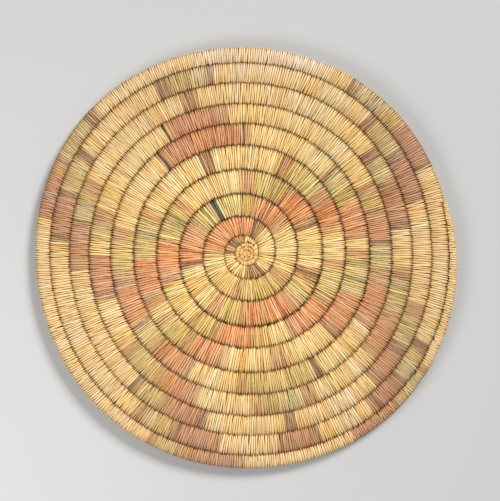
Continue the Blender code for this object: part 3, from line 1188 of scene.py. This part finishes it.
def mesh_piece(name: str, points: np.ndarray, faces: np.ndarray, uv: np.ndarray,
               values: dict[str, np.ndarray] | None = None) -> bpy.types.Object:
    """Make an object at the origin from its points and faces.

    Args:
        name: The piece's name.
        points: One row of x, y, z for each corner.
        faces: One row of corner numbers for each four-sided face.
        uv: Texture places, one for each corner of each face.
        values: Named values, one for each corner.

    Returns:
        The linked object.
    """
    mesh = bpy.data.meshes.new(name)
    mesh.vertices.add(len(points))
    mesh.vertices.foreach_set("co", points.astype(np.float32).ravel())
    mesh.loops.add(faces.size)
    mesh.loops.foreach_set("vertex_index", faces.astype(np.int32).ravel())
    mesh.polygons.add(len(faces))
    mesh.polygons.foreach_set("loop_start", np.arange(0, faces.size, faces.shape[1], dtype=np.int32))
    mesh.update(calc_edges=True)
    layer = mesh.uv_layers.new(name="strip")
    layer.data.foreach_set("uv", uv.astype(np.float32).ravel())
    for label, numbers in (values or {}).items():
        attribute = mesh.attributes.new(label, "FLOAT", "POINT")
        attribute.data.foreach_set("value", numbers.astype(np.float32))
    mesh.validate()
    mesh.shade_smooth()
    piece = bpy.data.objects.new(name, mesh)
    bpy.context.scene.collection.objects.link(piece)
    return piece


def finish_piece(piece: bpy.types.Object, material: bpy.types.Material,
                 nodes: Sequence[str]) -> None:
    """Dress a piece, make it ride on the plaque and let it stand for its nodes.

    Args:
        piece: The piece.
        material: Its material.
        nodes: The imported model's nodes that it replaces.
    """
    piece.data.materials.clear()
    piece.data.materials.append(material)
    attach(piece, BODY)
    if nodes:
        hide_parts(*nodes)
    stood_for = ", ".join(nodes) or "no node"
    LOG.info("%s: %d faces, stands for %s", piece.name, len(piece.data.polygons), stood_for)


@dataclass
class Wefts:
    """The stitches of the coil, one piece for each colour of each round."""

    coil: Coil
    sewing: Sewing
    strip: StripPattern
    dresser: Dresser
    materials: dict[Dye, bpy.types.Material] = field(default_factory=dict)

    def build(self) -> None:
        """Lay every stitch of the coil."""
        coil = self.coil
        stitches = Stitches(coil, self.sewing, coil_arch, coil.start, coil.end, self.sewing.seed)
        runs = read_pattern()
        ends = np.array([run.end for run in runs])
        crown = (coil.seam(stitches.place) + coil.seam(stitches.place + 1)) / 2
        edge = self.sewing.border_scatter * self.sewing.pitch / (2 * np.pi * crown)
        astray = stitches.scatter(len(stitches.place)) * edge
        exact = np.minimum(np.searchsorted(ends, stitches.place), len(runs) - 1)
        mixed = np.minimum(np.searchsorted(ends, stitches.place + astray), len(runs) - 1)
        black = np.array([run.dye is Dye.BLACK for run in runs])
        index = np.where(black[exact] | black[mixed], exact, mixed)
        self.match_batches(stitches, index)
        self.pinch_single_blacks(stitches, black[index])
        groups: dict[tuple[int, Dye], list[int]] = {}
        for stitch, number in enumerate(index):
            run = runs[number]
            groups.setdefault((run.round_number, run.dye), []).append(stitch)
            finish = LEAF_FINISHES[run.dye]
            stitches.tone[stitch] += finish.deep_tone if run.deep else finish.light_tone
        for round_number, dye in sorted(groups, key=lambda key: (key[0], key[1].name)):
            self.lay(stitches, round_number, dye, np.array(groups[round_number, dye]))

    def match_batches(self, stitches: Stitches, index: np.ndarray) -> None:
        """Bring each run's tone and tint near the dye's own, since a run is sewn from one batch of leaf.

        Args:
            stitches: The coil's stitches.
            index: The number of each stitch's run.
        """
        for number in np.unique(index):
            batch = index == number
            stitches.tone[batch] -= self.sewing.batch_hold * (stitches.tone[batch].mean() - 0.5)
            stitches.tint[batch] -= self.sewing.batch_tint_hold * stitches.tint[batch].mean()

    def pinch_single_blacks(self, stitches: Stitches, black: np.ndarray) -> None:
        """Let the strips on both sides crowd a black strip that stands alone.

        Args:
            stitches: The coil's stitches.
            black: Whether each stitch is black.
        """
        alone = black[1:-1] & ~black[:-2] & ~black[2:]
        for stitch in np.flatnonzero(alone) + 1:
            stitches.width[stitch] *= self.sewing.pinch
            stitches.width[[stitch - 1, stitch + 1]] *= self.sewing.pinch_beside

    def lay(self, stitches: Stitches, round_number: int, dye: Dye, chosen: np.ndarray) -> None:
        """Make the piece of one colour in one round.

        Args:
            stitches: The coil's stitches.
            round_number: The round, from 1.
            dye: The colour.
            chosen: Indices of its stitches.
        """
        colour = dye.name.lower()
        prefix = f"round_{round_number:02d}_"
        piece = stitch_piece(f"{prefix}{colour}_stitches", stitches, chosen, self.strip)
        if dye not in self.materials:
            self.materials[dye] = self.dresser.leaf(dye)
        nodes = [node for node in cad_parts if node.startswith(prefix) and node.endswith(colour)]
        finish_piece(piece, self.materials[dye], nodes)


def stitch_piece(name: str, stitches: Stitches, chosen: np.ndarray, strip: StripPattern
                 ) -> bpy.types.Object:
    """Copy the strip to each chosen stitch and join the copies in one mesh.

    Args:
        name: The piece's name.
        stitches: All the stitches.
        chosen: Indices of those that are in the piece.
        strip: The modelled strip.

    Returns:
        The piece.
    """
    corners = stitches.corners(chosen, strip)
    count, size, _ = corners.shape
    faces = (strip.faces + (np.arange(count) * size)[:, None, None]).reshape(-1, 4)
    uv = np.broadcast_to(strip.uv, (count, *strip.uv.shape)).reshape(-1, 2)
    drawn = {"tone": stitches.tone, "tint": stitches.tint}
    values = {label: np.repeat(numbers[chosen], size) for label, numbers in drawn.items()}
    return mesh_piece(name, corners.reshape(-1, 3), faces, uv, values)


# Where the four corners of a tube's face stand: rings ahead, and places round the ring
AHEAD = np.array((0, 0, 1, 1))
BESIDE = np.array((0, 1, 1, 0))


def tube_faces(rows: int, columns: int, closed: bool) -> np.ndarray:
    """Faces of a tube whose rings of corners follow one another.

    Args:
        rows: Number of rings.
        columns: Corners in each ring.
        closed: Whether the last ring joins the first.

    Returns:
        One row of four corner numbers for each face.
    """
    row = np.arange(rows if closed else rows - 1)[:, None, None]
    column = np.arange(columns)[None, :, None]
    return ((row + AHEAD) % rows * columns + (column + BESIDE) % columns).reshape(-1, 4)


def close_ends(tube: bpy.types.Object) -> None:
    """Cap a tube's open ends and turn its faces outwards.

    Args:
        tube: The tube.
    """
    only(tube)
    bpy.ops.object.mode_set(mode="EDIT")
    bpy.ops.mesh.select_mode(type="EDGE")
    bpy.ops.mesh.select_all(action="DESELECT")
    bpy.ops.mesh.select_non_manifold()
    bpy.ops.mesh.edge_face_add()
    bpy.ops.mesh.select_all(action="SELECT")
    bpy.ops.mesh.normals_make_consistent(inside=False)
    bpy.ops.object.mode_set(mode="OBJECT")


START_ROWS = (
    StartRow(inner=1.0 * MILLIMETRE, outer=3.4 * MILLIMETRE, rise=5.6 * MILLIMETRE),
    StartRow(inner=3.2 * MILLIMETRE, outer=6.3 * MILLIMETRE, rise=5.5 * MILLIMETRE),
    StartRow(inner=6.1 * MILLIMETRE, outer=9.4 * MILLIMETRE, rise=5.2 * MILLIMETRE),
)


@dataclass
class Foundation:
    """The bundle of grass inside the stitches."""

    coil: Coil
    dresser: Dresser
    steps_a_turn: int = 96
    depth: float = 0.75 * MILLIMETRE
    tip_step: float = 0.002
    rings_a_map_unit: float = 4.0

    def tube(self, name: str, arch: Callable[[Coil, np.ndarray], Arch], start: float, end: float,
             closed: bool) -> bpy.types.Object:
        """A tube along the coil, inside the section by the stitches' depth.

        Args:
            name: The piece's name.
            arch: Gives the section at each place.
            start: The first place.
            end: The last place.
            closed: Whether the tube's ends meet.

        Returns:
            The tube.
        """
        count = int((end - start) * self.steps_a_turn)
        place = np.linspace(start, end, count + (0 if closed else 1), endpoint=not closed)
        # The section steps where the rim tip ends, so two rings stand close together there
        tip = self.coil.end - 1
        if start < tip < end:
            clear = np.abs(place - tip) > 2 * self.tip_step
            place = np.sort(np.append(place[clear], (tip - self.tip_step / 4, tip + self.tip_step)))
        radius, height = arch(self.coil, place).loop()
        out_radius, out_height = outward(radius, height)
        points = self.coil.point(radius - out_radius * self.depth, height - out_height * self.depth,
                                 place[:, None])
        rows, columns = radius.shape
        faces = tube_faces(rows, columns, closed)
        ring = np.arange(rows if closed else rows - 1)[:, None, None]
        side = np.arange(columns)[None, :, None]
        lengthwise = (ring + AHEAD) / self.rings_a_map_unit
        uv = np.stack(np.broadcast_arrays(lengthwise, (side + BESIDE) / columns), axis=-1).reshape(-1, 2)
        tube = mesh_piece(name, points.reshape(-1, 3), faces, uv)
        close_ends(tube)
        return tube

    def build(self) -> None:
        """Make the winding and the bundle's folded end in the start ring."""
        grass = self.dresser.grass()
        start = self.coil.start + 1 / self.steps_a_turn
        end = self.coil.end - self.tip_step
        coil = self.tube("foundation_bundle", coil_arch, start, end, False)
        finish_piece(coil, grass, ["foundation_coil"])
        ring = self.tube("start_ring_core", START_ROWS[-1].arch, 0.0, 1.0, True)
        finish_piece(ring, grass, ["start_ring_bundle"])


@dataclass
class Start:
    """The start of the coil: small rows of stitches round a tight whorl."""

    coil: Coil
    strip: StripPattern
    straw: bpy.types.Material
    sewing: Sewing = Sewing(
        pitch=1.25 * MILLIMETRE, cover=1.06, lean=0.2, sway=0.1 * MILLIMETRE, tint_drift=0.4,
        bite_scatter=0.2 * MILLIMETRE, leaf_thickness=0.5 * MILLIMETRE, crowding=1.45)
    whorl_radius: float = 0.9 * MILLIMETRE
    whorl_strip: float = 0.40 * MILLIMETRE
    whorl_lift: float = 0.2 * MILLIMETRE
    whorl_turns: float = 1.6
    tone: float = -0.18

    WHORL_STEPS = 20
    WHORL_SIDES = 8
    WHORL_POWER = 0.8
    # The strip's blunt start, the turns over which it grows, and its least thickness, squared
    WHORL_BLUNT = 0.06
    WHORL_GROWTH = 0.3
    WHORL_LEAST = 0.2
    # A plain place on the strip's map, clear of its edges and seams, and a warm tint
    WHORL_MAP = 0.3
    WHORL_TINT = 0.3

    def build(self) -> None:
        """Sew the rows and wind the whorl."""
        for number, row in enumerate(START_ROWS):
            last = row is START_ROWS[-1]
            stitches = Stitches(self.coil, self.sewing, row.arch, 0.0, 1.0, self.sewing.seed + 1 + number)
            stitches.tone += self.tone
            name = "start_ring_stitches" if last else f"start_row_{number + 1}_stitches"
            piece = stitch_piece(name, stitches, np.arange(len(stitches.place)), self.strip)
            finish_piece(piece, self.straw, ["start_ring_wefts"] if last else [])
        self.knot()

    def knot(self) -> None:
        """Wind a thin strip into a whorl at each end of the eye where the first row's stitches meet."""
        turns = np.linspace(0, self.whorl_turns, int(self.whorl_turns * self.WHORL_STEPS) + 1)
        reach = self.whorl_radius * (1 - turns / self.whorl_turns) ** self.WHORL_POWER
        around = 2 * np.pi * np.arange(self.WHORL_SIDES) / self.WHORL_SIDES
        growth = np.clip((turns + self.WHORL_BLUNT) / self.WHORL_GROWTH, self.WHORL_LEAST, 1)
        thick = self.whorl_strip * np.sqrt(growth)
        radius = reach[:, None] + thick[:, None] * np.cos(around)[None, :]
        rise = START_ROWS[0].rise * self.coil.row_lip_share + thick[:, None] * (1 + np.sin(around)[None, :])
        rise = rise + self.whorl_lift * turns[:, None] / self.whorl_turns
        angle = 2 * np.pi * turns[:, None]
        bodies = []
        for side in (1, -1):
            x = self.coil.centre[0] + radius * np.cos(angle)
            y = self.coil.centre[1] + radius * np.sin(angle)
            bodies.append(np.stack([x, y, self.coil.thickness / 2 + side * rise], axis=-1))
        rows, columns = radius.shape
        faces = tube_faces(rows, columns, False)
        points = np.concatenate([body.reshape(-1, 3) for body in bodies])
        faces = np.concatenate([faces, faces + rows * columns])
        looks = {"tone": 0.5 + self.tone, "tint": self.WHORL_TINT}
        values = {label: np.full(len(points), value) for label, value in looks.items()}
        uv = np.full((faces.size, 2), self.WHORL_MAP)
        whorl = mesh_piece("start_knot_whorl", points, faces, uv, values)
        close_ends(whorl)
        finish_piece(whorl, self.straw, ["start_knot"])


@dataclass(frozen=True)
class Lamp:
    """A soft square lamp. Its size is in metres and its power in watts."""

    name: str
    place: tuple[float, float, float]
    size: float
    power: float

    def hang(self, target: Vector) -> None:
        """Hang the lamp and turn it to the plaque.

        Args:
            target: The point that it faces.
        """
        data = bpy.data.lights.new(self.name, "AREA")
        data.shape = "SQUARE"
        data.size = self.size
        data.energy = self.power
        lamp = bpy.data.objects.new(self.name, data)
        lamp.location = self.place
        lamp.rotation_euler = (target - Vector(self.place)).to_track_quat("-Z", "Y").to_euler()
        bpy.context.scene.collection.objects.link(lamp)


@dataclass(frozen=True)
class Studio:
    """Camera, floor and lamps."""

    picture_width: int = 500
    picture_height: int = 501
    spiral_column: float = 246.5
    spiral_row: float = 253.9
    seam_height: float = 11.5 * MILLIMETRE
    pixel: float = 0.8268 * MILLIMETRE
    lens: float = 85.0
    sensor: float = 36.0
    floor_size: float = 14.0
    floor_drop: float = 0.3 * MILLIMETRE
    floor_colour: Colour = seen(196, 196, 195)
    floor_roughness: float = 0.9
    room_colour: Colour = (1.0, 1.0, 1.0, 1.0)
    room_light: float = 0.28
    lamps: tuple[Lamp, ...] = (
        Lamp("main_lamp", place=(2.10, 2.35, 2.85), size=1.25, power=170.0),
        Lamp("fill_lamp", place=(-0.55, -0.40, 0.60), size=0.45, power=4.2),
    )

    def build(self, coil: Coil, dresser: Dresser) -> None:
        """Set up the picture, with the spiral's centre where the photograph has it.

        Args:
            coil: The spiral.
            dresser: Makes the floor's material.
        """
        across = (self.picture_width / 2 - self.spiral_column) * self.pixel
        along = (self.spiral_row - self.picture_height / 2) * self.pixel
        middle = Vector((*coil.centre, self.seam_height))
        distance = self.pixel * self.picture_width * self.lens / self.sensor
        data = bpy.data.cameras.new("camera")
        data.lens = self.lens
        data.sensor_width = self.sensor
        camera = bpy.data.objects.new("camera", data)
        camera.location = (middle.x + across, middle.y + along, middle.z + distance)
        bpy.context.scene.collection.objects.link(camera)
        bpy.context.scene.camera = camera
        self.lay_floor(dresser)
        for lamp in self.lamps:
            lamp.hang(middle)
        self.light_room()
        bpy.context.scene.view_settings.view_transform = "Standard"

    def lay_floor(self, dresser: Dresser) -> None:
        """Lay the plain pale floor.

        Args:
            dresser: Makes its material.
        """
        select_none()
        bpy.ops.mesh.primitive_plane_add(size=self.floor_size, location=(0, 0, -self.floor_drop))
        floor = bpy.context.active_object
        floor.name = "floor"
        bpy.ops.object.transform_apply(location=True, rotation=True, scale=True)
        floor.data.materials.append(dresser.plain("pale_floor", self.floor_colour, self.floor_roughness))

    def light_room(self) -> None:
        """Light the room evenly from all sides."""
        world = bpy.data.worlds.new("room")
        world.use_nodes = True
        background = world.node_tree.nodes["Background"]
        background.inputs["Color"].default_value = self.room_colour
        background.inputs["Strength"].default_value = self.room_light
        bpy.context.scene.world = world


def main() -> None:
    """Build the plaque's pieces in order and set up the picture."""
    logging.basicConfig(level=logging.INFO, format="%(name)s: %(message)s")
    coil = Coil()
    sewing = Sewing()
    dresser = Dresser()
    strip = StripMaker().model()
    wefts = Wefts(coil, sewing, strip, dresser)
    wefts.build()
    Foundation(coil, dresser).build()
    Start(coil, strip, wefts.materials[Dye.STRAW]).build()
    Studio().build(coil, dresser)


if __name__ == "__main__":
    main()
